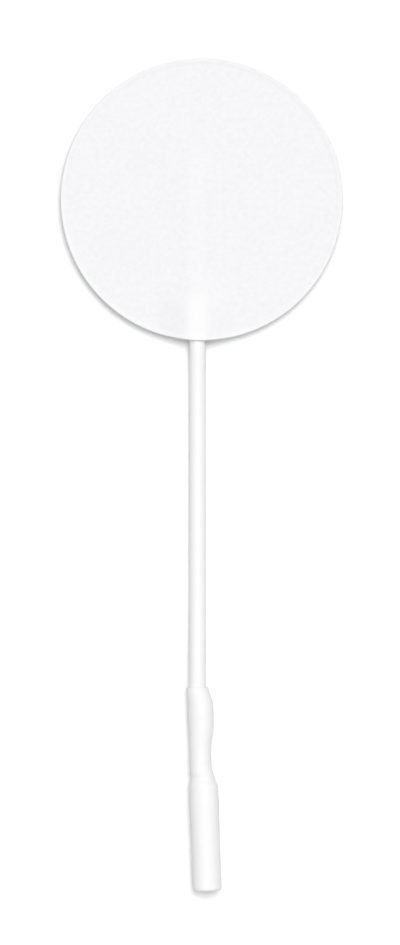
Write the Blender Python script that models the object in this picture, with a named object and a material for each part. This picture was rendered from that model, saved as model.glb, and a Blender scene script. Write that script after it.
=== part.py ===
"""Electrotherapy electrode pad: a round self-adhesive pad with a pigtail lead and a 2 mm socket.

The pad lies gel side down. The origin is the centre of the gel's skin face, +Z points up out of
the cloth, and the lead leaves the rim towards -Y. Sizes are in metres.
"""

import math

import bmesh
import bpy
import numpy as np
from mathutils import Vector

MM = 0.001

# The laminate, from the skin up. All its layers are cut by round dies on one centre.
PAD_DIAMETER = 32.0 * MM
GEL_INSET = 0.3 * MM
FILM_INSET = 0.5 * MM
GEL_THICKNESS = 0.9 * MM
FILM_THICKNESS = 0.15 * MM
CLOTH_THICKNESS = 0.55 * MM
BOND_LINE = 0.05 * MM
DIE_SIDES = 96

# The lead: a jacket over a conductor of seven strands.
LEAD_DIAMETER = 1.9 * MM
LEAD_X = -0.47 * MM
JACKET_INSIDE = 3.4 * MM
JACKET_FLOOR = 0.2 * MM
VISIBLE_LEAD = 39.3 * MM
LEAD_STEP = 1.9 * MM
ROUTE_PARTS = 12
FLOOR_GAP = 0.01 * MM
CLEARANCE = 0.03 * MM
LIP_CLEARANCE = 0.07 * MM

# The bare strands, which fan out flat between film and cloth.
STRAND_DIAMETER = 0.22 * MM
STRAND_PITCH = 0.24 * MM
STRAND_LENGTH = 18.2 * MM
STRAND_DROP = 1.8 * MM
STRANDS = 7

# How the layers drape over the jacket and the strands.
RIDGE_FLAT = 0.35 * MM
RIDGE_SPREAD = 2.2 * MM
RIDGE_FADE = 2.4 * MM
GROOVE_FLAT = 0.2 * MM
GROOVE_SPREAD = 0.5 * MM
GROOVE_FADE = 1.5 * MM
STREAK_FOOT = 1.2 * MM
STREAK_FADE = 0.8 * MM
DRAPE_COLUMN = 0.2 * MM
DRAPE_ROW = 0.3 * MM

# The connector's place, and its sleeve. Distances run along its axis from the sleeve's rear end.
CONNECTOR_X = -0.173 * MM
CONNECTOR_TILT = math.radians(2.0)
SLEEVE_LENGTH = 23.1 * MM
SLEEVE_WALL = 0.22 * MM
WAIST_BORE = 1.99 * MM
WAIST_OFFSET = -0.24 * MM
WAIST_START = 7.4 * MM
WAIST_END = 8.7 * MM
SHOULDER_RISE = 0.04 * MM
SHOULDER_START = 0.6 * MM
SHOULDER_LENGTH = 2.4 * MM
MOUTH_ROUND = 0.45 * MM
SLEEVE_SIDES = 24
SLEEVE_ROW = 0.55 * MM

# The socket contact: one strip of sheet brass, stamped, rolled and crimped.
STOCK = 0.2 * MM
CRIMP_START = 1.9 * MM
INSULATION_CRIMP_LENGTH = 2.2 * MM
INSULATION_CRIMP_OFFSET = -0.04 * MM
WEB_LENGTH = 1.2 * MM
CONDUCTOR_CRIMP_LENGTH = 1.9 * MM
CONDUCTOR_CRIMP_RADIUS = 0.53 * MM
CONDUCTOR_CRIMP_OFFSET = -0.25 * MM
CONDUCTOR_CURL_RADIUS = 0.196 * MM
NECK_START = 9.4 * MM
BARREL_START = 11.9 * MM
BARREL_DIAMETER = 2.78 * MM
BARREL_RECESS = 0.5 * MM
PIN_DIAMETER = 2.0 * MM
GRIP_CENTRE = 17.4 * MM
GRIP_HALF_LENGTH = 3.2 * MM
SHEAR_STEP = 0.3 * MM

# How far the strip reaches round its axis, in degrees each way from the spine.
WRAPPED_SPAN = 172
WEB_SPAN = 62
CHANNEL_SPAN = 80
BARREL_SPAN = 175
WING_ARC = 110
WING_CURL = 170
ARC_COLUMNS = 8
CURL_COLUMNS = 6
BUNDLE_SIDES = 16
LOOSE_BUNDLE = 0.26 * MM

# Heights and places that follow from the sizes above.
RIM_Y = -PAD_DIAMETER / 2
GEL_DIAMETER = PAD_DIAMETER - 2 * GEL_INSET
FILM_DIAMETER = GEL_DIAMETER - 2 * FILM_INSET
LEAD_RADIUS = LEAD_DIAMETER / 2
RIDGE_FOOT = LEAD_RADIUS + RIDGE_SPREAD
GROOVE_FOOT = LEAD_RADIUS + GROOVE_SPREAD
FILM_UNDERSIDE = GEL_THICKNESS + BOND_LINE
FILM_TOP = FILM_UNDERSIDE + FILM_THICKNESS
CLOTH_UNDERSIDE = FILM_TOP + BOND_LINE
JACKET_LEVEL = JACKET_FLOOR + BOND_LINE + FILM_THICKNESS + BOND_LINE + LEAD_RADIUS
JACKET_END_Y = RIM_Y + JACKET_INSIDE
STRAND_END_Y = JACKET_END_Y + STRAND_LENGTH
STRAND_LEVEL = FILM_TOP + BOND_LINE + STRAND_DIAMETER / 2
JACKET_LIFT = JACKET_LEVEL + LEAD_RADIUS + BOND_LINE - CLOTH_UNDERSIDE
STRAND_LIFT = STRAND_DIAMETER + BOND_LINE
GROOVE_DEPTH = FILM_TOP - (JACKET_LEVEL - LEAD_RADIUS - BOND_LINE)
FLOOR_LEVEL = LEAD_RADIUS + FLOOR_GAP
INSULATION_CRIMP_RADIUS = LEAD_RADIUS + CLEARANCE + STOCK / 2
BARREL_RADIUS = BARREL_DIAMETER / 2 - STOCK / 2
GRIP_RADIUS = PIN_DIAMETER / 2 + STOCK / 2
BARREL_END = SLEEVE_LENGTH - BARREL_RECESS
BARREL_BORE = BARREL_DIAMETER / 2 + CLEARANCE
CONNECTOR_LEVEL = BARREL_BORE + SLEEVE_WALL + SHOULDER_RISE
CONNECTOR_Y = RIM_Y - VISIBLE_LEAD
INSULATION_CRIMP_END = CRIMP_START + INSULATION_CRIMP_LENGTH
CONDUCTOR_CRIMP_START = INSULATION_CRIMP_END + WEB_LENGTH
CONDUCTOR_CRIMP_END = CONDUCTOR_CRIMP_START + CONDUCTOR_CRIMP_LENGTH

# The lead's route: (distance out from the pad's rim, height), on a straight line seen from above.
LEAD_ROUTE = [
    (-JACKET_INSIDE, JACKET_LEVEL),
    (-1.5 * MM, JACKET_LEVEL),
    (0.0 * MM, JACKET_LEVEL),
    (1.6 * MM, 1.31 * MM),
    (3.4 * MM, 1.13 * MM),
    (5.6 * MM, 0.99 * MM),
    (8.4 * MM, FLOOR_LEVEL),
    (12.0 * MM, FLOOR_LEVEL),
    (16.0 * MM, FLOOR_LEVEL),
    (20.0 * MM, FLOOR_LEVEL),
    (24.0 * MM, FLOOR_LEVEL),
    (28.0 * MM, FLOOR_LEVEL),
    (30.6 * MM, 1.01 * MM),
    (33.0 * MM, 1.22 * MM),
    (35.2 * MM, 1.50 * MM),
    (37.2 * MM, 1.67 * MM),
    (38.6 * MM, CONNECTOR_LEVEL),
    (VISIBLE_LEAD, CONNECTOR_LEVEL),
]


def ease(share):
    """0 to 1 along an S curve, and flat outside."""
    share = min(max(share, 0.0), 1.0)
    return share * share * (3 - 2 * share)


def blend(start, end, share):
    return start + (end - start) * ease(share)


def steps(start, end, pace):
    """Even stations from start to end, no further apart than pace."""
    return list(np.linspace(start, end, max(2, math.ceil((end - start) / pace) + 1)))


def material(name, colour, roughness, metallic=0.0):
    made = bpy.data.materials.new(name)
    made.use_nodes = True
    shader = made.node_tree.nodes["Principled BSDF"]
    shader.inputs["Base Color"].default_value = (*colour, 1.0)
    shader.inputs["Roughness"].default_value = roughness
    shader.inputs["Metallic"].default_value = metallic
    made.diffuse_color = (*colour, 1.0)
    return made


def add_object(name, data, finish, parent=None):
    obj = bpy.data.objects.new(name, data)
    bpy.context.scene.collection.objects.link(obj)
    data.materials.append(finish)
    obj.parent = parent
    return obj


def add_bmesh(name, bm, finish, parent=None, closed=True):
    """Puts a bmesh in the scene. A closed one has its faces turned outwards."""
    mesh = bpy.data.meshes.new(name)
    if closed:
        bmesh.ops.recalc_face_normals(bm, faces=bm.faces)
    bm.to_mesh(mesh)
    bm.free()
    mesh.shade_smooth()
    mesh.set_sharp_from_angle(angle=math.radians(40))
    return add_object(name, mesh, finish, parent)


def skin(bm, rows, closed):
    """Faces between neighbouring rows of points; closed joins each row's last point to its first."""
    made = [[bm.verts.new(point) for point in row] for row in rows]
    for row, following in zip(made, made[1:]):
        last = len(row) if closed else len(row) - 1
        for i in range(last):
            j = (i + 1) % len(row)
            bm.faces.new((row[i], row[j], following[j], following[i]))
    return made


def plateau(distance, flat, foot):
    """1 out to flat on either side, easing to 0 at foot."""
    return ease((foot - abs(distance)) / (foot - flat))


def jacket_share(y, fade):
    """1 where the jacket lies under the layer, fading inwards past its end."""
    return ease((JACKET_END_Y + CLEARANCE + fade - y) / fade)


def strand_share(y):
    return ease((STRAND_END_Y + STREAK_FADE - y) / STREAK_FADE)


def cloth_underside(x, y):
    """Flat on the film, lifted by the jacket and by the fanned strands."""
    across = x - LEAD_X
    row_half = (STRANDS - 1) / 2 * STRAND_PITCH + STRAND_DIAMETER / 2 + BOND_LINE
    ridge = JACKET_LIFT * plateau(across, RIDGE_FLAT, RIDGE_FOOT) * jacket_share(y, RIDGE_FADE)
    streak = STRAND_LIFT * plateau(across, row_half, row_half + STREAK_FOOT) * strand_share(y)
    return CLOTH_UNDERSIDE + max(ridge, streak)


def cloth_top(x, y):
    return cloth_underside(x, y) + CLOTH_THICKNESS


def groove(x, y):
    """How far the jacket presses the film and the gel down."""
    return GROOVE_DEPTH * plateau(x - LEAD_X, GROOVE_FLAT, GROOVE_FOOT) * jacket_share(y, GROOVE_FADE)


def film_underside(x, y):
    return FILM_UNDERSIDE - groove(x, y)


def film_top(x, y):
    return film_underside(x, y) + FILM_THICKNESS


def gel_top(x, y):
    return GEL_THICKNESS - groove(x, y)


def skin_face(x, y):
    return 0.0


def draped_web(height):
    """A web twice as wide as the pad, with close grid lines only where the lead and strands shape it."""
    edge = PAD_DIAMETER
    columns = [-edge, *(LEAD_X + d for d in steps(-RIDGE_FOOT, RIDGE_FOOT, DRAPE_COLUMN)), edge]
    rows = [
        -edge,
        *steps(JACKET_END_Y + CLEARANCE, JACKET_END_Y + CLEARANCE + RIDGE_FADE, DRAPE_ROW),
        *steps(STRAND_END_Y, STRAND_END_Y + STREAK_FADE, DRAPE_ROW),
        edge,
    ]
    bm = bmesh.new()
    skin(bm, [[(x, y, height(x, y)) for x in columns] for y in rows], closed=False)
    return bm


def die_cut(obj, diameter):
    """Trims a web with a round die that stays in the scene as a hidden cutter."""
    bm = bmesh.new()
    radius = diameter / 2
    bmesh.ops.create_cone(
        bm, cap_ends=True, segments=DIE_SIDES, radius1=radius, radius2=radius, depth=diameter
    )
    mesh = bpy.data.meshes.new(obj.name + "_die")
    bm.to_mesh(mesh)
    bm.free()
    die = bpy.data.objects.new(obj.name + "_die", mesh)
    bpy.context.scene.collection.objects.link(die)
    die.hide_render = True
    die.display_type = "WIRE"
    cut = obj.modifiers.new("die", "BOOLEAN")
    cut.operation = "INTERSECT"
    cut.object = die
    facets = obj.modifiers.new("facets", "TRIANGULATE")
    facets.ngon_method = "BEAUTY"


def add_layer(name, underside, top, diameter, finish):
    """A web of stock between two draped surfaces, trimmed by the die."""
    bm = draped_web(top)
    grown = bmesh.ops.extrude_face_region(bm, geom=bm.faces[:])
    for item in grown["geom"]:
        if isinstance(item, bmesh.types.BMVert):
            item.co.z = underside(item.co.x, item.co.y)
    die_cut(add_bmesh(name, bm, finish), diameter)


def add_laminate():
    """Cloth, film and gel. The gel is cast against the film, and its skin face is flat."""
    cloth = material("white_nonwoven", (0.91, 0.91, 0.93), 0.9)
    carbon = material("carbon_film", (0.03, 0.03, 0.035), 0.5)
    gel = material("clear_hydrogel", (0.80, 0.86, 0.88), 0.15)
    add_layer("backing_cloth", cloth_underside, cloth_top, PAD_DIAMETER, cloth)
    add_layer("conductive_film", film_underside, film_top, FILM_DIAMETER, carbon)
    add_layer("hydrogel", skin_face, gel_top, GEL_DIAMETER, gel)


def add_round_wire(name, points, diameter, resolution, finish):
    """A solid round wire along the points, with filled ends."""
    curve = bpy.data.curves.new(name, "CURVE")
    curve.dimensions = "3D"
    curve.bevel_depth = diameter / 2
    curve.bevel_resolution = resolution
    curve.use_fill_caps = True
    spline = curve.splines.new("POLY")
    spline.points.add(len(points) - 1)
    for target, point in zip(spline.points, points):
        target.co = (*point, 1.0)
    return add_object(name, curve, finish)


def bundle_place(index):
    """Where strand number index leaves the jacket: six strands round one, in order from left to right."""
    if index == STRANDS // 2:
        return 0.0, 0.0
    side = -1 if index < STRANDS // 2 else 1
    from_outside = index if side < 0 else STRANDS - 1 - index
    turn = math.radians((0, -60, 60)[from_outside])
    return side * math.cos(turn) * STRAND_PITCH, math.sin(turn) * STRAND_PITCH


def add_strands():
    """The bare strands drop from the jacket's end and lie side by side on the film."""
    finish = material("tinned_strand", (0.62, 0.62, 0.60), 0.3, 1.0)
    start = JACKET_END_Y + CLEARANCE
    stations = steps(start, start + STRAND_DROP, DRAPE_ROW) + [STRAND_END_Y]
    for index in range(STRANDS):
        from_x, from_z = bundle_place(index)
        to_x = (index - (STRANDS - 1) / 2) * STRAND_PITCH
        points = []
        for y in stations:
            share = (y - start) / STRAND_DROP
            x = LEAD_X + blend(from_x, to_x, share)
            z = blend(JACKET_LEVEL + from_z, STRAND_LEVEL, share)
            points.append((x, y, z))
        add_round_wire(f"strand_{index + 1}", points, STRAND_DIAMETER, 1, finish)


def connector_point(along, across, up):
    """World place of a point in the connector: along its axis from the sleeve's rear, across, and up."""
    sine = math.sin(CONNECTOR_TILT)
    cosine = math.cos(CONNECTOR_TILT)
    x = CONNECTOR_X + across * cosine + along * sine
    y = CONNECTOR_Y + across * sine - along * cosine
    return Vector((x, y, CONNECTOR_LEVEL + up))


def smooth_through(points, pace):
    """Points about a pace apart on the smooth curve that passes through the given ones."""
    guide = [2 * points[0] - points[1], *points, 2 * points[-1] - points[-2]]
    fine = []
    for before, start, end, after in zip(guide, guide[1:], guide[2:], guide[3:]):
        for t in np.linspace(0, 1, ROUTE_PARTS, endpoint=False):
            leaving = (end - before) * (t - 2 * t**2 + t**3) / 2
            arriving = (after - start) * (t**3 - t**2) / 2
            along = 3 * t**2 - 2 * t**3
            fine.append(start * (1 - along) + end * along + leaving + arriving)
    fine = np.array([*fine, points[-1]])
    walked = np.concatenate([[0], np.cumsum(np.linalg.norm(np.diff(fine, axis=0), axis=1))])
    places = steps(0, walked[-1], pace)
    return [Vector([float(np.interp(place, walked, fine[:, axis])) for axis in range(3)]) for place in places]


def add_lead():
    """The insulated lead, from under the cloth, along the surface and into the insulation crimp."""
    free = [Vector((LEAD_X, RIM_Y - out, height)) for out, height in LEAD_ROUTE]
    crimped = [
        connector_point(along, INSULATION_CRIMP_OFFSET, 0.0)
        for along in (CRIMP_START, INSULATION_CRIMP_END - SHEAR_STEP)
    ]
    points = smooth_through(free + crimped, LEAD_STEP)
    vinyl = material("white_lead_jacket", (0.90, 0.90, 0.90), 0.4)
    add_round_wire("lead_jacket", points, LEAD_DIAMETER, 2, vinyl)


def sleeve_bore(along):
    """Inner radius of the shrunk sleeve: on the jacket, over the crimp, its own waist, then the barrel."""
    crimp = INSULATION_CRIMP_RADIUS + STOCK / 2 + CLEARANCE
    if along < CRIMP_START:
        return blend(LEAD_RADIUS + LIP_CLEARANCE, crimp, along / CRIMP_START)
    if along < WAIST_START:
        share = (along - INSULATION_CRIMP_END) / (WAIST_START - INSULATION_CRIMP_END)
        return blend(crimp, WAIST_BORE / 2, share)
    if along < BARREL_START:
        share = (along - WAIST_END) / (BARREL_START - CLEARANCE - SHEAR_STEP - WAIST_END)
        return blend(WAIST_BORE / 2, BARREL_BORE, share)
    past = (along - BARREL_START - SHOULDER_START) / SHOULDER_LENGTH
    rise = ease(0.5 + 2 * past) if past < 0.25 else ease(1 - (past - 0.25) / 0.75)
    return BARREL_BORE + SHOULDER_RISE * rise


def sleeve_offset(along):
    """Sideways place of the sleeve's middle: from the lead over to the contact's spine side and back."""
    if along < CRIMP_START:
        lip = (LEAD_X - CONNECTOR_X) / math.cos(CONNECTOR_TILT)
        return blend(lip, INSULATION_CRIMP_OFFSET, along / CRIMP_START)
    if along < WAIST_START:
        share = (along - INSULATION_CRIMP_END) / (WAIST_START - INSULATION_CRIMP_END)
        return blend(INSULATION_CRIMP_OFFSET, WAIST_OFFSET, share)
    return blend(WAIST_OFFSET, 0.0, (along - WAIST_END) / (BARREL_START - WAIST_END))


def ring(along, radius, offset, sides):
    """A ring round the connector's axis, in the connector's own frame."""
    turns = [2 * math.pi * (i + 0.5) / sides - math.pi / 2 - math.pi / sides for i in range(sides)]
    return [(offset + radius * math.cos(turn), -along, radius * math.sin(turn)) for turn in turns]


def add_sleeve(frame):
    """Shrunk sleeve: outer skin, turned-in mouth, and bore, as one closed tube."""
    straight_end = SLEEVE_LENGTH - MOUTH_ROUND
    stations = (
        steps(0, CRIMP_START, SLEEVE_ROW)
        + steps(INSULATION_CRIMP_END, WAIST_START, SLEEVE_ROW)
        + steps(WAIST_END, BARREL_START, SLEEVE_ROW)
        + steps(BARREL_START + SHOULDER_START, BARREL_START + SHOULDER_START + SHOULDER_LENGTH, SLEEVE_ROW)
    )
    outer = [ring(s, sleeve_bore(s) + SLEEVE_WALL, sleeve_offset(s), SLEEVE_SIDES) for s in stations]
    inner = [ring(s, sleeve_bore(s), sleeve_offset(s), SLEEVE_SIDES) for s in stations]
    mouth_turns = [math.radians(angle) for angle in (0, 22.5, 45, 67.5, 90)]
    rounded = BARREL_BORE + SLEEVE_WALL - MOUTH_ROUND
    for turn in mouth_turns:
        along, out = math.sin(turn), math.cos(turn)
        inner_round = MOUTH_ROUND - SLEEVE_WALL
        outer.append(ring(straight_end + MOUTH_ROUND * along, rounded + MOUTH_ROUND * out, 0, SLEEVE_SIDES))
        inner.append(ring(straight_end + inner_round * along, rounded + inner_round * out, 0, SLEEVE_SIDES))
    bm = bmesh.new()
    made = skin(bm, outer + inner[::-1], closed=True)
    bmesh.ops.bridge_loops(bm, edges=ring_edges(made[0]) + ring_edges(made[-1]))
    add_bmesh("sleeve", bm, material("white_sleeve", (0.92, 0.92, 0.92), 0.35), frame)


def ring_edges(verts):
    """The edges round one ring of verts."""
    ends = zip(verts, verts[1:] + verts[:1])
    return [next(edge for edge in a.link_edges if edge.other_vert(a) is b) for a, b in ends]


def strip_section(along, radius, offset, arc, curl_radius, curl):
    """The contact's middle surface across its axis, from one wing tip to the other.

    Each wing leaves the spine at -X on an arc of the given radius, then turns on the tighter curl radius.
    """
    half = []
    for i in range(ARC_COLUMNS + 1):
        turn = math.radians(arc) * i / ARC_COLUMNS
        half.append((-radius * math.cos(turn), radius * math.sin(turn)))
    centre = [(1 - curl_radius / radius) * part for part in half[-1]]
    for i in range(1, CURL_COLUMNS + 1):
        turn = math.radians(arc + curl * i / CURL_COLUMNS)
        half.append((centre[0] - curl_radius * math.cos(turn), centre[1] + curl_radius * math.sin(turn)))
    mirrored = [(x, -z) for x, z in half[:0:-1]]
    return [(offset + x, -along, z) for x, z in mirrored + half]


def plain_section(along, radius, offset, span):
    """A section with no curl: an open ring that spans so many degrees each way from the spine."""
    curl = span * CURL_COLUMNS / (ARC_COLUMNS + CURL_COLUMNS)
    return strip_section(along, radius, offset, span - curl, radius, curl)


def grip(along):
    """How far the barrel is necked in, to grip the pin."""
    return (BARREL_RADIUS - GRIP_RADIUS) * ease(1 - abs(along - GRIP_CENTRE) / GRIP_HALF_LENGTH)


def add_contact(frame):
    """Socket contact: two crimps, an open neck, and a rolled barrel with its seam, from one strip."""
    sections = [
        plain_section(s, INSULATION_CRIMP_RADIUS, INSULATION_CRIMP_OFFSET, WRAPPED_SPAN)
        for s in (CRIMP_START, INSULATION_CRIMP_END)
    ]
    web_start = INSULATION_CRIMP_END + SHEAR_STEP
    web_end = CONDUCTOR_CRIMP_START - SHEAR_STEP
    web_radius = CONDUCTOR_CRIMP_RADIUS + CONDUCTOR_CURL_RADIUS
    sections.append(plain_section(web_start, INSULATION_CRIMP_RADIUS, INSULATION_CRIMP_OFFSET, WEB_SPAN))
    sections.append(plain_section(web_end, web_radius, CONDUCTOR_CRIMP_OFFSET, CHANNEL_SPAN))
    radius, offset = CONDUCTOR_CRIMP_RADIUS, CONDUCTOR_CRIMP_OFFSET
    for s, curl in (
        (CONDUCTOR_CRIMP_START - SHEAR_STEP / 2, WING_CURL / 2),
        (CONDUCTOR_CRIMP_START, WING_CURL),
        (CONDUCTOR_CRIMP_END, WING_CURL),
        (CONDUCTOR_CRIMP_END + SHEAR_STEP / 2, WING_CURL / 2),
    ):
        sections.append(strip_section(s, radius, offset, WING_ARC, CONDUCTOR_CURL_RADIUS, curl))
    neck_end = BARREL_START - SHEAR_STEP
    sections.append(
        plain_section(CONDUCTOR_CRIMP_END + SHEAR_STEP, web_radius, CONDUCTOR_CRIMP_OFFSET, CHANNEL_SPAN)
    )
    for s in steps(NECK_START, neck_end, SLEEVE_ROW):
        share = (s - NECK_START) / (neck_end - NECK_START)
        radius = blend(web_radius, BARREL_RADIUS, share)
        sections.append(plain_section(s, radius, blend(CONDUCTOR_CRIMP_OFFSET, 0.0, share), CHANNEL_SPAN))
    grip_start = GRIP_CENTRE - GRIP_HALF_LENGTH
    grip_end = GRIP_CENTRE + GRIP_HALF_LENGTH
    for s in [BARREL_START, *steps(grip_start, grip_end, SLEEVE_ROW * 2), BARREL_END]:
        sections.append(plain_section(s, BARREL_RADIUS - grip(s), 0.0, BARREL_SPAN))
    bm = bmesh.new()
    skin(bm, sections, closed=False)
    brass = material("plated_brass", (0.78, 0.66, 0.38), 0.25, 1.0)
    contact = add_bmesh("socket_contact", bm, brass, frame, closed=False)
    thicken = contact.modifiers.new("stock", "SOLIDIFY")
    thicken.thickness = STOCK
    thicken.offset = 0.0


def strand_outline(along, radius, flat, offset):
    """A round bundle whose +X side is pressed flat at the given distance from its middle."""
    points = []
    for x, y, z in ring(along, radius, 0.0, BUNDLE_SIDES):
        shrink = min(1.0, flat / x) if x > 0 else 1.0
        points.append((offset + x * shrink, y, z))
    return points


def add_crimped_strands(frame):
    """The conductor's end, squeezed to a D between the spine and the curled wings."""
    free_radius = STRAND_PITCH + STRAND_DIAMETER / 2
    pressed = CONDUCTOR_CRIMP_RADIUS - STOCK / 2 - CLEARANCE
    start = INSULATION_CRIMP_END - SHEAR_STEP + CLEARANCE
    grown = CONDUCTOR_CRIMP_START + SHEAR_STEP
    let_go = CONDUCTOR_CRIMP_END - SHEAR_STEP
    brush = CONDUCTOR_CRIMP_END + 2 * SHEAR_STEP
    at_crimp = CONDUCTOR_CRIMP_OFFSET
    rows = [
        strand_outline(start, free_radius, free_radius, INSULATION_CRIMP_OFFSET),
        strand_outline(CONDUCTOR_CRIMP_START - SHEAR_STEP, LOOSE_BUNDLE, CLEARANCE, at_crimp),
        strand_outline(CONDUCTOR_CRIMP_START, LOOSE_BUNDLE, CLEARANCE, at_crimp),
        strand_outline(grown, pressed, CLEARANCE, at_crimp),
        strand_outline(let_go, pressed, CLEARANCE, at_crimp),
        strand_outline(CONDUCTOR_CRIMP_END, LOOSE_BUNDLE, CLEARANCE, at_crimp),
        strand_outline(brush, LOOSE_BUNDLE, CLEARANCE, at_crimp),
    ]
    bm = bmesh.new()
    made = skin(bm, rows, closed=True)
    for end in (made[0], made[-1]):
        bm.faces.new(end)
    add_bmesh("crimped_strands", bm, material("tinned_bundle", (0.62, 0.62, 0.60), 0.35, 1.0), frame)


def add_connector():
    frame = bpy.data.objects.new("connector_frame", None)
    bpy.context.scene.collection.objects.link(frame)
    frame.location = (CONNECTOR_X, CONNECTOR_Y, CONNECTOR_LEVEL)
    frame.rotation_euler = (0.0, 0.0, CONNECTOR_TILT)
    add_sleeve(frame)
    add_contact(frame)
    add_crimped_strands(frame)


for leftover in list(bpy.data.objects):
    bpy.data.objects.remove(leftover)
add_laminate()
add_strands()
add_lead()
add_connector()
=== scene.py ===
"""The looks of a round electrotherapy electrode pad with a pigtail lead and a sleeved pin socket.

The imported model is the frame. Each section makes or finishes one piece and holds its sizes, tones
and finish: the lead, the sleeve that it runs into, the metal inside them, the cloth, the film and
the gel. The camera comes first and the studio last.
"""

import math

import bpy
import numpy as np
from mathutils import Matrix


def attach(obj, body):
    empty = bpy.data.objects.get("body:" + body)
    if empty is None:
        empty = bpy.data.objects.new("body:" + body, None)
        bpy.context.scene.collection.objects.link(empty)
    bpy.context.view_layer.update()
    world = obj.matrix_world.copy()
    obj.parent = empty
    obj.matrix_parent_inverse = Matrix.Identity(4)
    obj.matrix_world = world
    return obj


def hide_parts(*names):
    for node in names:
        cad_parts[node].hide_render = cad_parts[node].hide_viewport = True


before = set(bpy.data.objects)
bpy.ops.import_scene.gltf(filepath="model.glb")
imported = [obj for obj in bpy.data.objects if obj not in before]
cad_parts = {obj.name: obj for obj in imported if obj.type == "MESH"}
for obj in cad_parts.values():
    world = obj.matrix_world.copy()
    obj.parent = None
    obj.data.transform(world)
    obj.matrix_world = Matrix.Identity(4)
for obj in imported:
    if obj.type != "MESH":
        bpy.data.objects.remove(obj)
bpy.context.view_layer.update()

# The photographer's camera: straight above the object, on a long lens that takes in a strip
# 107.2 mm tall. The pad's middle is a little right of the strip's middle, and high in it.
MM = 0.001
STRIP_HEIGHT = 107.2 * MM
STRIP_MIDDLE = (-0.18 * MM, -30.96 * MM)
FOCUS_LEVEL = 1.7 * MM
CAMERA_RISE = 600 * MM
NEAREST_SHOWN = 10 * MM
camera_data = bpy.data.cameras.new("photo_camera")
camera_data.lens = camera_data.sensor_width * CAMERA_RISE / STRIP_HEIGHT
camera_data.clip_start = NEAREST_SHOWN
camera = bpy.data.objects.new("photo_camera", camera_data)
camera.location = (*STRIP_MIDDLE, FOCUS_LEVEL + CAMERA_RISE)
bpy.context.scene.collection.objects.link(camera)
bpy.context.scene.camera = camera
bpy.context.scene.view_settings.view_transform = "Standard"


# The lead: a soft white vinyl jacket, extruded over seven tinned strands. It leaves the pad's rim
# between cloth and film, comes down to the surface and rises again into its connector. The die
# leaves fine lines along it, and handling leaves it duller in patches.
RIM_Y = -16.0 * MM
LEAD_DIAMETER = 1.9 * MM
LEAD_X = -0.47 * MM
JACKET_INSIDE = 3.4 * MM
JACKET_LEVEL = 1.40 * MM
SURFACE_LEVEL = 0.96 * MM
CONNECTOR_LEVEL = 1.68 * MM
CONNECTOR_X = -0.173 * MM
CONNECTOR_Y = -55.3 * MM
CONNECTOR_TILT = math.radians(2.0)
# Each point of the route: distance out from the rim, and level of the lead's middle.
LEAD_ROUTE = [
    (-JACKET_INSIDE, JACKET_LEVEL),
    (-1.5 * MM, JACKET_LEVEL),
    (0.0, JACKET_LEVEL),
    (1.6 * MM, 1.31 * MM),
    (3.4 * MM, 1.13 * MM),
    (5.6 * MM, 0.99 * MM),
    (8.4 * MM, SURFACE_LEVEL),
    (12.0 * MM, SURFACE_LEVEL),
    (16.0 * MM, SURFACE_LEVEL),
    (20.0 * MM, SURFACE_LEVEL),
    (24.0 * MM, SURFACE_LEVEL),
    (28.0 * MM, SURFACE_LEVEL),
    (30.6 * MM, 1.01 * MM),
    (33.0 * MM, 1.22 * MM),
    (35.2 * MM, 1.50 * MM),
    (37.2 * MM, 1.67 * MM),
    (38.6 * MM, CONNECTOR_LEVEL),
    (39.3 * MM, CONNECTOR_LEVEL),
]
# Where the jacket lies in the connector, along it and beside its axis.
CRIMPED_PLACES = [1.9 * MM, 3.8 * MM]
CRIMP_OFFSET = -0.04 * MM
ROUTE_PARTS = 6
JACKET_ROUNDNESS = 7

# Noise runs from 0 to 1 but seldom leaves the middle of that range.
NOISE_SPAN = (0.3, 0.7)
VINYL_TONES = ((0.965, 0.965, 0.963), (0.985, 0.985, 0.984))
VINYL_ROUGHNESS = (0.33, 0.45)
DIE_LINE_WIDTH = 0.16 * MM
DIE_LINE_STRETCH = (1, 0.04, 1)
DIE_LINE_DEPTH = 0.006 * MM
HANDLED_PATCH = 2.4 * MM
HANDLED_SHARE = 0.6
VINYL_GRAIN = 0.07 * MM
VINYL_GRAIN_DEPTH = 0.003 * MM


def in_connector(along, across, up):
    """Places in the connector, given along its axis from the sleeve's rear, across it, and up.

    Along and across are turned by the connector's tilt and added to where its axis starts.
    """
    sine, cosine = math.sin(CONNECTOR_TILT), math.cos(CONNECTOR_TILT)
    x = CONNECTOR_X + across * cosine + along * sine
    y = CONNECTOR_Y + across * sine - along * cosine
    return np.stack(np.broadcast_arrays(x, y, CONNECTOR_LEVEL + up), axis=-1)


def smooth_line(points, parts):
    """Cubic pieces through the points, each with so many parts.

    A piece leaves a point at half the step between the point's two neighbours.
    """
    guide = np.vstack([2 * points[0] - points[1], points, 2 * points[-1] - points[-2]])
    before, start, end, after = (guide[i : len(guide) - 3 + i, None] for i in range(4))
    t = np.linspace(0, 1, parts, endpoint=False)[None, :, None]
    middle = start * (1 - 3 * t**2 + 2 * t**3) + end * (3 * t**2 - 2 * t**3)
    slopes = (end - before) / 2 * (t - 2 * t**2 + t**3) + (after - start) / 2 * (t**3 - t**2)
    return np.vstack([(middle + slopes).reshape(-1, 3), points[-1]])


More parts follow.
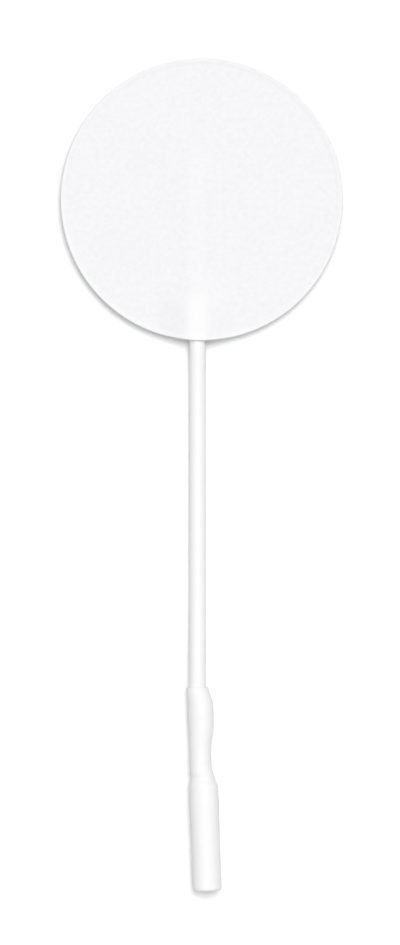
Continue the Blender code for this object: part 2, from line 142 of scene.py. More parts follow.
class Signal:
    """A socket in a finish, and a way to add nodes beside it.

    Sums, differences and products of signals add the Math nodes that they need.
    """

    def __init__(self, socket):
        self.socket = socket

    def node(self, kind, settings=None, inputs=None, output=0):
        """Adds a node of that kind: first its settings, then its sockets' values or signals."""
        made = self.socket.id_data.nodes.new("ShaderNode" + kind)
        for setting, value in (settings or {}).items():
            setattr(made, setting, value)
        for name, value in (inputs or {}).items():
            if isinstance(value, Signal):
                self.socket.id_data.links.new(value.socket, made.inputs[name])
            else:
                made.inputs[name].default_value = value
        return Signal(made.outputs[output])

    def arithmetic(self, operation, first, second):
        """A Math node on two signals, or on a signal and a number."""
        return self.node("Math", {"operation": operation}, {0: first, 1: second})

    def __add__(self, other):
        return self.arithmetic("ADD", self, other)

    def __sub__(self, other):
        return self.arithmetic("SUBTRACT", self, other)

    def __mul__(self, other):
        return self.arithmetic("MULTIPLY", self, other)

    def __rsub__(self, other):
        return self.arithmetic("SUBTRACT", other, self)

    __radd__ = __add__
    __rmul__ = __mul__

    def clouds(self, size, detail=2.0, stretch=(1, 1, 1), turn=0.0):
        """Noise from 0 to 1 in patches about size across, longer along an axis of small stretch."""
        scales = [share / size for share in stretch]
        turned = {"Vector": self, "Rotation": (0, 0, turn)}
        place = self.node("Mapping", {"vector_type": "POINT"}, turned)
        place = place.node("VectorMath", {"operation": "MULTIPLY"}, {0: place, 1: scales})
        return place.node("TexNoise", {}, {"Vector": place, "Scale": 1.0, "Detail": detail})

    def ramp(self, low, high, start=0.0, end=1.0):
        """Eases from start to end as the signal goes from low to high."""
        values = {"Value": self, "From Min": low, "From Max": high, "To Min": start, "To Max": end}
        return self.node("MapRange", {"interpolation_type": "SMOOTHSTEP"}, values)

    def tint(self, first, second):
        """Goes from the first colour at 0 to the second at 1. Either may itself be a signal."""
        first, second = (
            colour if isinstance(colour, Signal) else (*colour, 1.0) for colour in (first, second)
        )
        # Of a Mix node's sockets, 6 and 7 take the two colours, and 2 gives the mixed one.
        return self.node("Mix", {"data_type": "RGBA"}, {0: self, 6: first, 7: second}, output=2)

    def relief(self, depth, below=None):
        """A surface normal for bumps of that depth, on top of other bumps if given."""
        values = {"Height": self, "Distance": depth, "Strength": 1.0}
        if below:
            values["Normal"] = below
        return self.node("Bump", {}, values)


def new_finish(name, even):
    """A material with the given even values, its shader, and the place on the piece in metres."""
    made = bpy.data.materials.new(name)
    made.use_nodes = True
    shader = made.node_tree.nodes["Principled BSDF"]
    for socket, value in even.items():
        shader.inputs[socket].default_value = value
    place = Signal(shader.outputs["BSDF"]).node("TexCoord", output="Object")
    return made, shader, place


def feed(shader, **signals):
    """Links each signal to the shader's socket of that name, with spaces for underscores."""
    for name, signal in signals.items():
        shader.id_data.links.new(signal.socket, shader.inputs[name.replace("_", " ")])


vinyl, shader, place = new_finish("lead_vinyl", {"IOR": 1.53, "Specular IOR Level": 0.3})
die_lines = place.clouds(DIE_LINE_WIDTH, detail=3.0, stretch=DIE_LINE_STRETCH)
handled = place.clouds(HANDLED_PATCH)
grain = place.clouds(VINYL_GRAIN)
feed(
    shader,
    Base_Color=(handled * HANDLED_SHARE + die_lines * (1 - HANDLED_SHARE)).tint(*VINYL_TONES),
    Roughness=handled.ramp(*NOISE_SPAN, *VINYL_ROUGHNESS),
    Normal=grain.relief(VINYL_GRAIN_DEPTH, die_lines.relief(DIE_LINE_DEPTH)),
)

free = [(LEAD_X, RIM_Y - out, level) for out, level in LEAD_ROUTE]
held = in_connector(np.array(CRIMPED_PLACES), CRIMP_OFFSET, 0.0)
line = smooth_line(np.vstack([free, held]), ROUTE_PARTS)
lead_curve = bpy.data.curves.new("lead", "CURVE")
lead_curve.dimensions = "3D"
lead_curve.bevel_depth = LEAD_DIAMETER / 2
lead_curve.bevel_resolution = JACKET_ROUNDNESS
lead_curve.use_fill_caps = True
spline = lead_curve.splines.new("POLY")
spline.points.add(len(line) - 1)
spline.points.foreach_set("co", np.column_stack([line, np.ones(len(line))]).ravel())
spline.use_smooth = True
lead_curve.materials.append(vinyl)
lead = bpy.data.objects.new("lead", lead_curve)
bpy.context.scene.collection.objects.link(lead)


# The sleeve: white heat-shrink tube over the crimps and the barrel. It grips the lead at its rear,
# swells over the insulation crimp, draws in at the waist and creases where the barrel begins. It
# cools unevenly, and shrinks in faint lines along its length.
SLEEVE_LENGTH = 23.1 * MM
SLEEVE_WALL = 0.22 * MM
LIP_BORE = 1.02 * MM
CRIMP_BORE = 1.21 * MM
CRIMP_RISE = 0.05 * MM
WAIST_BORE = 0.995 * MM
BARREL_BORE = 1.42 * MM
SHOULDER_RISE = 0.04 * MM
LIP_OFFSET = -0.297 * MM
WAIST_OFFSET = -0.24 * MM
CRIMP_START = 1.9 * MM
CRIMP_MIDDLE = 3.0 * MM
CRIMP_END = 4.1 * MM
WAIST_START = 7.4 * MM
WAIST_END = 8.7 * MM
BARREL_FULL = 11.57 * MM
BARREL_ON_AXIS = 11.9 * MM
SHOULDER_PEAK = 13.1 * MM
SHOULDER_END = 14.9 * MM
LIP_ROUND = 0.09 * MM
MOUTH_ROUND = 0.32 * MM
CREASE_PLACE = 10.4 * MM
CREASE_SLANT = 0.15 * MM
CREASE_WIDTH = 0.42 * MM
CREASE_DEPTH = 0.25 * MM
CREASE_TURN = math.radians(120)
RIPPLE_DEPTH = 0.012 * MM
RIPPLE_PITCH = 1.3 * MM
RIPPLE_RADIUS = 1.6 * MM
RIPPLE_FADE = 1.5 * MM
RIPPLE_STOP = 1.2 * MM
SLEEVE_SIDES = 96
SLEEVE_STATIONS = 170
ROUND_STEPS = 7

TUBE_TONES = ((0.965, 0.965, 0.964), (0.985, 0.985, 0.984))
TUBE_ROUGHNESS = (0.5, 0.64)
COOLED_PATCH = 1.8 * MM
COOLED_SHARE = 0.7
SHRINK_LINE_WIDTH = 0.22 * MM
SHRINK_LINE_STRETCH = (1, 0.07, 1)
SHRINK_LINE_DEPTH = 0.012 * MM
TUBE_GRAIN = 0.06 * MM
TUBE_GRAIN_DEPTH = 0.004 * MM


def ease(share):
    """S curve 3s2 - 2s3 from 0 to 1, flat outside."""
    share = np.clip(share, 0, 1)
    return share * share * (3 - 2 * share)


def eased_steps(along, stops):
    """Value at each distance along, easing from each stop's (place, value) to the next one's."""
    value = np.full_like(along, stops[0][1])
    for (from_place, from_value), (to_place, to_value) in zip(stops, stops[1:]):
        share = ease((along - from_place) / (to_place - from_place))
        value = value + (to_value - from_value) * share
    return value


def uneven(across, along, pitch, seed):
    """Soft random heights, -1 to 1: random numbers on a square lattice, eased between its points.

    Places are counted in pitches from near the lattice's middle, and start over past its edge.
    """
    cells, middle_u, middle_v = 256, 128.3, 128.7
    lattice = np.random.default_rng(seed).uniform(-1, 1, (cells, cells))
    u, v = across / pitch + middle_u, along / pitch + middle_v
    i, j = np.floor(u).astype(int) % (cells - 1), np.floor(v).astype(int) % (cells - 1)
    s, t = ease(u - np.floor(u)), ease(v - np.floor(v))
    near = lattice[i, j] * (1 - s) + lattice[i + 1, j] * s
    far = lattice[i, j + 1] * (1 - s) + lattice[i + 1, j + 1] * s
    return near * (1 - t) + far * t


def closed_surface(name, rings, finish, ends):
    """A piece from an array of rings (ring, place round it, xyz), each ring joined to the next.

    The last ring joins the first where ends is "joined", as on a tube with a wall, and each end
    ring closes on a point at its middle where ends is "poles". Faces are turned so that the volume
    inside, the sum of each face's corner times its normal, is positive.
    """
    count, sides = rings.shape[:2]
    points = rings.reshape(-1, 3)
    index = np.arange(count * sides).reshape(count, sides)
    following = np.roll(index, -1, axis=0) if ends == "joined" else index[1:]
    rows = index if ends == "joined" else index[:-1]
    quads = np.stack(
        [rows, np.roll(rows, -1, axis=1), np.roll(following, -1, axis=1), following], axis=-1
    ).reshape(-1, 4)
    fans = np.empty((0, 3), int)
    if ends == "poles":
        points = np.vstack([points, rings[0].mean(axis=0), rings[-1].mean(axis=0)])
        first, last = len(points) - 2, len(points) - 1
        front = np.stack([np.roll(index[0], -1), index[0], np.full(sides, first)], axis=-1)
        back = np.stack([index[-1], np.roll(index[-1], -1), np.full(sides, last)], axis=-1)
        fans = np.vstack([front, back])
    corner = points[quads]
    normal = np.cross(corner[:, 2] - corner[:, 0], corner[:, 3] - corner[:, 1])
    if (corner[:, 0] * normal).sum() < 0:
        quads, fans = quads[:, ::-1], fans[:, ::-1]
    mesh = bpy.data.meshes.new(name)
    mesh.from_pydata(points.tolist(), [], quads.tolist() + fans.tolist())
    mesh.shade_smooth()
    mesh.materials.append(finish)
    piece = bpy.data.objects.new(name, mesh)
    bpy.context.scene.collection.objects.link(piece)
    return piece


def sleeve_skin(along, inward, turns):
    """Rings of the sleeve's skin, inward from its outer face by that much.

    The radius and the sideways place of each ring ease between the stops. A crease, a bell curve
    along the neck, is deepest on top and at the left, and goes to nothing at the lower right. The
    tube ripples a little, as shrunk tube does, but not at its two ends.
    """
    bore = eased_steps(
        along,
        [
            (0.0, LIP_BORE),
            (CRIMP_START, CRIMP_BORE),
            (CRIMP_MIDDLE, CRIMP_BORE + CRIMP_RISE),
            (CRIMP_END, CRIMP_BORE),
            (WAIST_START, WAIST_BORE),
            (WAIST_END, WAIST_BORE),
            (BARREL_FULL, BARREL_BORE),
            (SHOULDER_PEAK, BARREL_BORE + SHOULDER_RISE),
            (SHOULDER_END, BARREL_BORE),
        ],
    )
    offset = eased_steps(
        along,
        [
            (0.0, LIP_OFFSET),
            (CRIMP_START, CRIMP_OFFSET),
            (CRIMP_END, CRIMP_OFFSET),
            (WAIST_START, WAIST_OFFSET),
            (WAIST_END, WAIST_OFFSET),
            (BARREL_ON_AXIS, 0.0),
        ],
    )
    along, bore, offset, inward = (part[:, None] for part in (along, bore, offset, inward))
    from_crease = along - CREASE_PLACE - CREASE_SLANT * np.cos(turns)
    crease_share = (1 + np.cos(turns - CREASE_TURN)) / 2
    crease = CREASE_DEPTH * crease_share * np.exp(-((from_crease / CREASE_WIDTH) ** 2))
    to_stop = SLEEVE_LENGTH - RIPPLE_STOP - along
    ripple_share = ease(along / RIPPLE_FADE) * ease(to_stop / RIPPLE_FADE)
    rippled = uneven(turns * RIPPLE_RADIUS, along, RIPPLE_PITCH, seed=5)
    radius = bore + SLEEVE_WALL - inward - crease + RIPPLE_DEPTH * rippled * ripple_share
    across = offset + radius * np.cos(turns)
    return in_connector(along, across, radius * np.sin(turns))


def rounded_end(start, reach, radius):
    """Distances along and inward for a quarter round that starts flush and turns in."""
    turns = np.radians(np.linspace(0, 90, ROUND_STEPS))
    return start + reach * np.sin(turns), radius * (1 - np.cos(turns))


polyolefin, shader, place = new_finish(
    "sleeve_polyolefin", {"IOR": 1.5, "Specular IOR Level": 0.3}
)
shrink_lines = place.clouds(SHRINK_LINE_WIDTH, detail=3.0, stretch=SHRINK_LINE_STRETCH)
cooled = place.clouds(COOLED_PATCH)
grain = place.clouds(TUBE_GRAIN)
feed(
    shader,
    Base_Color=(cooled * COOLED_SHARE + grain * (1 - COOLED_SHARE)).tint(*TUBE_TONES),
    Roughness=cooled.ramp(*NOISE_SPAN, *TUBE_ROUGHNESS),
    Normal=grain.relief(TUBE_GRAIN_DEPTH, shrink_lines.relief(SHRINK_LINE_DEPTH)),
)

# The wall's section runs from the lip along the outside, round the mouth and back along the bore.
turns = np.linspace(0, 2 * math.pi, SLEEVE_SIDES, endpoint=False)[None, :]
mouth_start = SLEEVE_LENGTH - MOUTH_ROUND
outside = np.linspace(LIP_ROUND, mouth_start, SLEEVE_STATIONS)
bore_side = np.linspace(mouth_start, LIP_ROUND, SLEEVE_STATIONS)
inner_round = MOUTH_ROUND - SLEEVE_WALL
lip_along, lip_inward = rounded_end(LIP_ROUND, -LIP_ROUND, LIP_ROUND)
mouth_along, mouth_inward = rounded_end(mouth_start, MOUTH_ROUND, MOUTH_ROUND)
turned_along, turned_inward = rounded_end(mouth_start, inner_round, inner_round)
skin_along = np.concatenate(
    [
        lip_along[::-1],
        outside[1:-1],
        mouth_along,
        turned_along[::-1],
        bore_side[1:-1],
        lip_along[:-1],
    ]
)
skin_inward = np.concatenate(
    [
        lip_inward[::-1],
        np.zeros(SLEEVE_STATIONS - 2),
        mouth_inward,
        SLEEVE_WALL + turned_inward[::-1],
        np.full(SLEEVE_STATIONS - 2, SLEEVE_WALL),
        SLEEVE_WALL - lip_inward[:-1],
    ]
)
skin = sleeve_skin(skin_along, skin_inward, turns)
sleeve = closed_surface("shrunk_sleeve", skin, polyolefin, "joined")
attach(sleeve, "root")
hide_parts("sleeve")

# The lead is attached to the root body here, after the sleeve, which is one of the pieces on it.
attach(lead, "root")
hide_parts("lead_jacket")


# The socket contact: one strip of thin brass, plated, stamped flat and then rolled and crimped. The
# rolling leaves fine lines along it, and the plating is duller where the tools have pressed it.
BRASS_TONES = ((0.80, 0.68, 0.41), (0.70, 0.57, 0.33))
BRASS_ROUGHNESS = (0.2, 0.38)
ROLLED_LINE_WIDTH = 0.03 * MM
ROLLED_LINE_STRETCH = (1, 0.05, 1)
ROLLED_LINE_DEPTH = 0.002 * MM
PRESSED_PATCH = 0.9 * MM
PRESSED_SHARE = 0.6
PRESSED_SPAN = (0.35, 0.7)

brass, shader, place = new_finish("plated_brass", {"Metallic": 1.0})
rolled = place.clouds(ROLLED_LINE_WIDTH, stretch=ROLLED_LINE_STRETCH)
pressed = place.clouds(PRESSED_PATCH, detail=3.0)
worn = pressed * PRESSED_SHARE + rolled * (1 - PRESSED_SHARE)
feed(
    shader,
    Base_Color=pressed.ramp(*PRESSED_SPAN).tint(*BRASS_TONES),
    Roughness=worn.ramp(*NOISE_SPAN, *BRASS_ROUGHNESS),
    Normal=rolled.relief(ROLLED_LINE_DEPTH),
)
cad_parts["socket_contact"].material_slots[0].material = brass


# The conductor: seven drawn and tinned copper strands. They are squeezed together in the crimp, and
# at the other end they lie side by side between cloth and film.
STRAND_COUNT = 7
TIN_TONES = ((0.66, 0.66, 0.65), (0.52, 0.51, 0.49))
TIN_ROUGHNESS = (0.25, 0.42)
DRAWN_LINE_WIDTH = 0.025 * MM
DRAWN_LINE_STRETCH = (1, 0.06, 1)
DRAWN_LINE_DEPTH = 0.003 * MM
DULLED_PATCH = 0.5 * MM

tinned, shader, place = new_finish("tinned_copper", {"Metallic": 1.0})
drawn = place.clouds(DRAWN_LINE_WIDTH, stretch=DRAWN_LINE_STRETCH)
dulled = place.clouds(DULLED_PATCH, detail=3.0)
feed(
    shader,
    Base_Color=dulled.ramp(*NOISE_SPAN).tint(*TIN_TONES),
    Roughness=dulled.ramp(*NOISE_SPAN, *TIN_ROUGHNESS),
    Normal=drawn.relief(DRAWN_LINE_DEPTH),
)
strands = [f"strand_{number + 1}" for number in range(STRAND_COUNT)]
for conductor in ["crimped_strands", *strands]:
    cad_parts[conductor].material_slots[0].material = tinned


# The backing: a round of soft white nonwoven cloth, cut by a die that leaves its rim pinched and a
# little turned up. It drapes over the jacket in a ridge and over the bare strands in a streak, and
# the black film shows through it, except where it stands clear of the film. Beside the jacket it is
# painted lighter: partly because it stands off the film there, partly as painted light that fills
# the shade on the ridge's flanks.
PAD_RADIUS = 16.0 * MM
FILM_RADIUS = 15.2 * MM
CLOTH_THICKNESS = 0.55 * MM
CLOTH_UNDERSIDE = 1.15 * MM
JACKET_END_Y = RIM_Y + JACKET_INSIDE
JACKET_LIFT = 1.25 * MM
RIDGE_FLAT = 0.35 * MM
RIDGE_FOOT = 3.15 * MM
RIDGE_FADE = 2.4 * MM
STRAND_LIFT = 0.27 * MM
STRAND_ROW_HALF = 0.88 * MM
STRAND_END_Y = 5.6 * MM
STREAK_FOOT = 1.2 * MM
STREAK_FADE = 0.8 * MM
STREAK_TOP_FADE = 3.2 * MM
DRAPE_SPREAD = 1.8 * MM
JACKET_PRINT = 0.3 * MM
STRAND_PRINT = 0.22 * MM
RIM_TURN_UP = 0.16 * MM
RIM_WIDTH = 0.75 * MM
DISH = 0.05 * MM
SWELL = 0.010 * MM
SWELL_PITCH = 2.7 * MM
CUT_EDGE = 0.22 * MM
CUT_SQUARENESS = 0.6
CLOTH_MIDDLE = 0.12 * MM
CLOTH_SIDES = 384
CLOTH_TOP_RINGS = 104
CLOTH_UNDER_RINGS = 52
EDGE_STEPS = 13

FILM_BELOW_TONES = ((0.903, 0.901, 0.921), (0.949, 0.947, 0.965))
# Beside the jacket: cloth partly held off the film, partly painted light on the ridge's flanks.
HELD_OFF_AND_PAINTED_LIGHT_TONES = ((0.919, 0.917, 0.936), (0.957, 0.955, 0.972))
WHITE_BELOW_TONES = ((0.973, 0.971, 0.971), (0.988, 0.986, 0.986))
CLOTH_ROUGHNESS = (0.82, 0.95)
FIBRE_WIDTH = 0.05 * MM
FIBRE_STRETCH = (1, 0.05, 1)
FIBRE_TURNS = (0.5, 1.7, 2.7)
FIBRE_SPAN = (0.48, 0.66)
FIBRE_SHARE = 0.06
FIBRE_DEPTH = 0.0035 * MM
CLUMP_SIZE = 0.58 * MM
CLUMP_SHARE = 0.6
CLUMP_DEPTH = 0.022 * MM
DRIFT_SIZE = 3.2 * MM
DRIFT_SHARE = 0.16
MOTTLE_SPAN = (0.24, 0.64)
# How white the cloth looks over the jacket, over the strands and past the film, and how far out.
JACKET_WHITE_FLAT = 0.5 * MM
JACKET_WHITE_FOOT = 1.7 * MM
JACKET_WHITE_FADE = 3.6 * MM
STRAND_WHITE = 0.3
STRAND_WHITE_FLAT = 0.4 * MM
STRAND_WHITE_FOOT = 1.4 * MM
STRAND_WHITE_FADE = 4.0 * MM
RIM_WHITE = 0.6
RIM_WHITE_START = 0.2 * MM
RIM_WHITE_FADE = 0.3 * MM
# How far beside the jacket the cloth is painted lighter, in part painted light on the ridge's
# flanks.
BESIDE_FLAT = 2.0 * MM
BESIDE_FOOT = 4.6 * MM


def plateau(distance, flat, foot):
    """1 out to flat on either side, easing to 0 at foot."""
    return ease((foot - np.abs(distance)) / (foot - flat))


def jacket_share(x, y, flat, foot, fade):
    """1 over the jacket, easing off sideways and past its end."""
    return plateau(x - LEAD_X, flat, foot) * ease((JACKET_END_Y + fade - y) / fade)


def strand_share(x, y, foot, fade):
    """1 over the row of strands, easing off over the foot sideways and over the fade lengthwise."""
    sideways = plateau(x - LEAD_X, STRAND_ROW_HALF, STRAND_ROW_HALF + foot)
    return sideways * ease((STRAND_END_Y + fade - y) / fade)


def cloth_underside(x, y):
    """Flat on the film, and lifted by the jacket or by the strands, whichever is higher."""
    ridge = JACKET_LIFT * jacket_share(x, y, RIDGE_FLAT, RIDGE_FOOT, RIDGE_FADE)
    streak = STRAND_LIFT * strand_share(x, y, STREAK_FOOT, STREAK_FADE)
    return CLOTH_UNDERSIDE + np.maximum(ridge, streak)


def cloth_top(x, y):
    """The thickness above the flat, with a lower and wider ridge and streak than the underside's.

    The cloth is pressed thinner over the jacket and the strands. The two lifts add as a soft
    maximum, the root of the sum of their squares.
    """
    foot, fade = RIDGE_FOOT + DRAPE_SPREAD, RIDGE_FADE + DRAPE_SPREAD
    ridge = (JACKET_LIFT - JACKET_PRINT) * jacket_share(x, y, RIDGE_FLAT, foot, fade)
    streak_share = strand_share(x, y, STREAK_FOOT + DRAPE_SPREAD, STREAK_TOP_FADE)
    streak = (STRAND_LIFT - STRAND_PRINT) * streak_share
    return CLOTH_UNDERSIDE + CLOTH_THICKNESS + np.hypot(ridge, streak)


def round_places(radii, sides):
    """x and y on circles of the given radii, as two arrays of (circle, place round it)."""
    turns = np.linspace(0, 2 * math.pi, sides, endpoint=False)[None, :]
    return radii[:, None] * np.cos(turns), radii[:, None] * np.sin(turns)


def edge_section(radius, edge, squareness, from_turn, to_turn):
    """A half superellipse round a disc's edge, as radii and as shares of the height, 0 to 1.

    Sine and cosine are raised to the squareness, which below 1 makes the round squarer.
    """
    angles = np.radians(np.linspace(from_turn, to_turn, EDGE_STEPS))
    radii = radius - edge + edge * np.cos(angles) ** squareness
    rise = np.sign(np.sin(angles)) * np.abs(np.sin(angles)) ** squareness
    return radii, 0.5 + 0.5 * rise


def cloth_rings():
    """Rings from the middle of the top, round the cut edge, to the middle of the underside.

    The height goes from the top's to the underside's by a share that falls from 1 to 0 round the
    edge, a half superellipse. The rim turns up, the whole is dished a little, and the top is
    faintly uneven.
    """
    edge_radii, edge_shares = edge_section(PAD_RADIUS, CUT_EDGE, CUT_SQUARENESS, 90, -90)
    flat_radius = PAD_RADIUS - CUT_EDGE
    top = np.linspace(CLOTH_MIDDLE, flat_radius, CLOTH_TOP_RINGS)[:-1]
    below = np.linspace(flat_radius, CLOTH_MIDDLE, CLOTH_UNDER_RINGS)[1:]
    radii = np.concatenate([top, edge_radii, below])
    shares = np.concatenate([np.ones(len(top)), edge_shares, np.zeros(len(below))])[:, None]
    x, y = round_places(radii, CLOTH_SIDES)
    swell = SWELL * uneven(x, y, SWELL_PITCH, seed=12)
    turned_up = RIM_TURN_UP * ease(1 - (PAD_RADIUS - radii) / RIM_WIDTH)
    dished = DISH * (radii / PAD_RADIUS) ** 2
    height = shares * (cloth_top(x, y) + swell) + (1 - shares) * cloth_underside(x, y)
    return np.stack([x, y, height + (turned_up + dished)[:, None]], axis=-1)


nonwoven, shader, place = new_finish(
    "white_nonwoven", {"Sheen Weight": 0.12, "Sheen Roughness": 0.6, "Specular IOR Level": 0.25}
)
clear_of_film = place.node("Attribute", {"attribute_name": "clear_of_film"}, output="Fac")
held_off_and_painted_light = place.node("Attribute", {"attribute_name": "held_off_and_painted_light"}, output="Fac")
fibres = sum(
    place.clouds(FIBRE_WIDTH, detail=1.0, stretch=FIBRE_STRETCH, turn=turn).ramp(*FIBRE_SPAN)
    for turn in FIBRE_TURNS
)
clumps = place.clouds(CLUMP_SIZE, detail=1.5)
drifts = place.clouds(DRIFT_SIZE)
mottle = clumps * CLUMP_SHARE + fibres * FIBRE_SHARE + drifts * DRIFT_SHARE
mottle = mottle.ramp(*MOTTLE_SPAN)
# Beside the jacket the cloth takes lighter tones: painted light on the shaded flanks of the ridge,
# and in part cloth held off the film.
on_film = held_off_and_painted_light.tint(mottle.tint(*FILM_BELOW_TONES), mottle.tint(*HELD_OFF_AND_PAINTED_LIGHT_TONES))
feed(
    shader,
    Base_Color=clear_of_film.tint(on_film, mottle.tint(*WHITE_BELOW_TONES)),
    Roughness=clumps.ramp(*NOISE_SPAN, *CLOTH_ROUGHNESS),
    Normal=fibres.relief(FIBRE_DEPTH, clumps.relief(CLUMP_DEPTH)),
)

rings = cloth_rings()
cloth = closed_surface("nonwoven_backing", rings, nonwoven, "poles")
x, y = rings[..., 0], rings[..., 1]
over_jacket = jacket_share(x, y, JACKET_WHITE_FLAT, JACKET_WHITE_FOOT, JACKET_WHITE_FADE)
# The white over the strands fades along a stretch that has their ends at its middle.
over_strands = STRAND_WHITE * plateau(x - LEAD_X, STRAND_WHITE_FLAT, STRAND_WHITE_FOOT)
over_strands *= ease((STRAND_END_Y - y) / STRAND_WHITE_FADE + 0.5)
from_film = np.hypot(x, y) - FILM_RADIUS
past_film = RIM_WHITE * ease((from_film - RIM_WHITE_START) / RIM_WHITE_FADE)
clear = np.max([over_jacket, over_strands, past_film], axis=0)
# Painted light: lightens the ridge's shaded flanks beside the jacket, in part cloth held off the
# film.
beside = jacket_share(x, y, BESIDE_FLAT, BESIDE_FOOT, JACKET_WHITE_FADE)
# The two points that close the cloth at its middle take the mean of the first ring.
for name, share in (("clear_of_film", clear.ravel()), ("held_off_and_painted_light", beside.ravel())):
    middle = share[:CLOTH_SIDES].mean()
    attribute = cloth.data.attributes.new(name, "FLOAT", "POINT")
    attribute.data.foreach_set("value", np.concatenate([share, [middle, middle]]))
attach(cloth, "root")
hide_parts("backing_cloth")


# The film: vinyl loaded with carbon, which spreads the current over the gel. It is black, and its
# surface is slightly uneven from casting.
CARBON_TONES = ((0.022, 0.022, 0.024), (0.05, 0.05, 0.054))
CARBON_ROUGHNESS = (0.42, 0.6)
SPECKLE_SIZE = 0.08 * MM
SPECKLE_SHARE = 0.6
SPECKLE_DEPTH = 0.006 * MM
CAST_PATCH = 1.5 * MM

carbon, shader, place = new_finish("carbon_film", {"IOR": 1.5})
speckle = place.clouds(SPECKLE_SIZE, detail=3.0)
cast = place.clouds(CAST_PATCH)
soot = (speckle * SPECKLE_SHARE + cast * (1 - SPECKLE_SHARE)).ramp(*NOISE_SPAN)
feed(
    shader,
    Base_Color=soot.tint(*CARBON_TONES),
    Roughness=cast.ramp(*NOISE_SPAN, *CARBON_ROUGHNESS),
    Normal=speckle.relief(SPECKLE_DEPTH),
)
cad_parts["conductive_film"].material_slots[0].material = carbon


# The gel: clear, tacky hydrogel cast on the film, with a fine scrim of threads in it. Its margin
# stands up round the film to meet the cloth, its skin face is flat with a soft edge, and the jacket
# has pressed a groove in its top.
GEL_RADIUS = 15.7 * MM
GEL_THICKNESS = 0.9 * MM
GROOVE_DEPTH = 0.7 * MM
GROOVE_FLAT = 0.2 * MM
GROOVE_FOOT = 1.45 * MM
GROOVE_FADE = 1.5 * MM
SQUEEZE_GAP = 0.04 * MM
MARGIN_RISE_WIDTH = 0.1 * MM
GEL_EDGE = 0.25 * MM
GEL_SQUARENESS = 0.7
GEL_MIDDLE = 0.15 * MM
GEL_SIDES = 256
GEL_UNDER_RINGS = 60
GEL_TOP_RINGS = 90

GEL_TONES = ((0.80, 0.87, 0.88), (0.90, 0.94, 0.94))
GEL_ROUGHNESS = (0.1, 0.2)
RIPPLE_SIZE = 2.2 * MM
GEL_RIPPLE_DEPTH = 0.03 * MM
SCRIM_THREAD = 0.05 * MM
SCRIM_STRETCH = 0.03
SCRIM_SPAN = (0.24, 0.42)
SCRIM_SHARE = 0.5
SCRIM_DEPTH = 0.003 * MM


def gel_rings():
    """Rings from the middle of the skin face, round the soft edge, to the middle of the top.

    The edge is a half superellipse between the skin face at height 0 and the top. The top is the
    gel's thickness less the jacket's groove. Outside the film it rises to just under the cloth, and
    to just under the jacket's round where that lies over it.
    """
    edge_radii, edge_shares = edge_section(GEL_RADIUS, GEL_EDGE, GEL_SQUARENESS, -90, 90)
    flat_radius = GEL_RADIUS - GEL_EDGE
    below = np.linspace(GEL_MIDDLE, flat_radius, GEL_UNDER_RINGS)[:-1]
    top = np.linspace(flat_radius, GEL_MIDDLE, GEL_TOP_RINGS)[1:]
    radii = np.concatenate([below, edge_radii, top])
    shares = np.concatenate([np.zeros(len(below)), edge_shares, np.ones(len(top))])[:, None]
    x, y = round_places(radii, GEL_SIDES)
    groove = GROOVE_DEPTH * jacket_share(x, y, GROOVE_FLAT, GROOVE_FOOT, GROOVE_FADE)
    reach = LEAD_DIAMETER / 2 + SQUEEZE_GAP
    under_jacket = JACKET_LEVEL - np.sqrt(np.clip(reach**2 - (x - LEAD_X) ** 2, 0, None))
    beside = np.where((np.abs(x - LEAD_X) < reach) & (y < 0), under_jacket, np.inf)
    filled = np.minimum(cloth_underside(x, y) - SQUEEZE_GAP, beside)
    margin_share = ease((radii - FILM_RADIUS - SQUEEZE_GAP) / MARGIN_RISE_WIDTH)[:, None]
    under_film = GEL_THICKNESS - groove
    height = under_film + (filled - under_film) * margin_share
    return np.stack([x, y, shares * height], axis=-1)


hydrogel, shader, place = new_finish(
    "clear_hydrogel",
    {"Transmission Weight": 0.75, "IOR": 1.38, "Coat Weight": 0.2, "Coat Roughness": 0.1},
)
ripples = place.clouds(RIPPLE_SIZE)
threads_across = place.clouds(SCRIM_THREAD, detail=1.0, stretch=(1, SCRIM_STRETCH, 1))
threads_along = place.clouds(SCRIM_THREAD, detail=1.0, stretch=(SCRIM_STRETCH, 1, 1))
scrim = (threads_across * threads_along).ramp(*SCRIM_SPAN)
feed(
    shader,
    Base_Color=(ripples * (1 - SCRIM_SHARE) + scrim * SCRIM_SHARE).tint(*GEL_TONES),
    Roughness=ripples.ramp(*NOISE_SPAN, *GEL_ROUGHNESS),
    Normal=ripples.relief(GEL_RIPPLE_DEPTH, scrim.relief(SCRIM_DEPTH)),
)
gel = closed_surface("gel_disc", gel_rings(), hydrogel, "poles")
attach(gel, "root")
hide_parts("hydrogel")


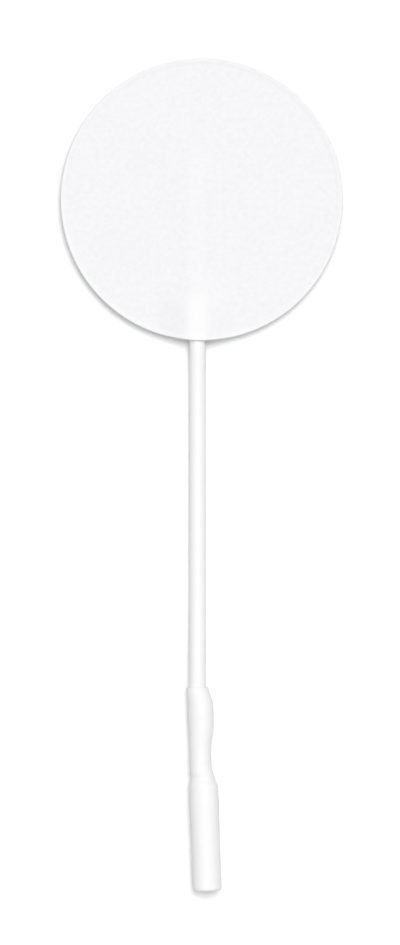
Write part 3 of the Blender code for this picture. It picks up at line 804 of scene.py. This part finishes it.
# The studio: a white sweep under the object, a white room that is darker towards its horizon, and
# one wide soft lamp far above and to the upper right, which throws the narrow shadow at the pad's
# lower left. The camera, metal and gel see sweep and room as plain white, but with the shadow.
FLOOR_HALF = 1500 * MM
FLOOR_DROP = 0.02 * MM
SWEEP_COLOUR = 0.72
SWEEP_SEEN = 1.14
ROOM_LEVEL = 0.755
HORIZON_LEVEL = 0.1
ROOM_TOP = 0.9
LAMP_POWER = 39.7
LAMP_DISTANCE = 3.0
LAMP_SIZE = 1320 * MM
LAMP_DIRECTION = (0.1, 0.22, 0.97)


def seen(place):
    """1 for rays from the camera and for those that metal or gel sends on, and 0 for light."""
    rays = ("Is Camera Ray", "Is Glossy Ray", "Is Transmission Ray")
    return sum(place.node("LightPath", output=ray) for ray in rays).ramp(0.0, 1.0)


sweep, shader, place = new_finish("white_sweep", {"Roughness": 1.0, "Specular IOR Level": 0.0})
feed(shader, Base_Color=seen(place).tint((SWEEP_COLOUR,) * 3, (SWEEP_SEEN,) * 3))
signs = ((-1, -1), (1, -1), (1, 1), (-1, 1))
corners = [(x * FLOOR_HALF, y * FLOOR_HALF, -FLOOR_DROP) for x, y in signs]
floor_mesh = bpy.data.meshes.new("sweep")
floor_mesh.from_pydata(corners, [], [(0, 1, 2, 3)])
floor_mesh.materials.append(sweep)
floor = bpy.data.objects.new("sweep", floor_mesh)
bpy.context.scene.collection.objects.link(floor)

room = bpy.data.worlds.new("white_room")
room.use_nodes = True
background = room.node_tree.nodes["Background"]
background.inputs["Color"].default_value = (1.0, 1.0, 1.0, 1.0)
facing = Signal(background.outputs["Background"]).node("TexCoord", output="Generated")
height = facing.node("SeparateXYZ", {}, {"Vector": facing}, output="Z")
level = height.ramp(0.0, ROOM_TOP, HORIZON_LEVEL, ROOM_LEVEL)
feed(background, Strength=seen(facing) * (1 - level) + level)
bpy.context.scene.world = room

lamp_data = bpy.data.lights.new("soft_lamp", "AREA")
lamp_data.shape = "DISK"
lamp_data.size = LAMP_SIZE
lamp_data.energy = LAMP_POWER
lamp = bpy.data.objects.new("soft_lamp", lamp_data)
lamp.location = [part * LAMP_DISTANCE for part in LAMP_DIRECTION]
tilt = math.acos(LAMP_DIRECTION[2])
heading = math.atan2(LAMP_DIRECTION[0], -LAMP_DIRECTION[1])
lamp.rotation_euler = (tilt, 0.0, heading)
bpy.context.scene.collection.objects.link(lamp)
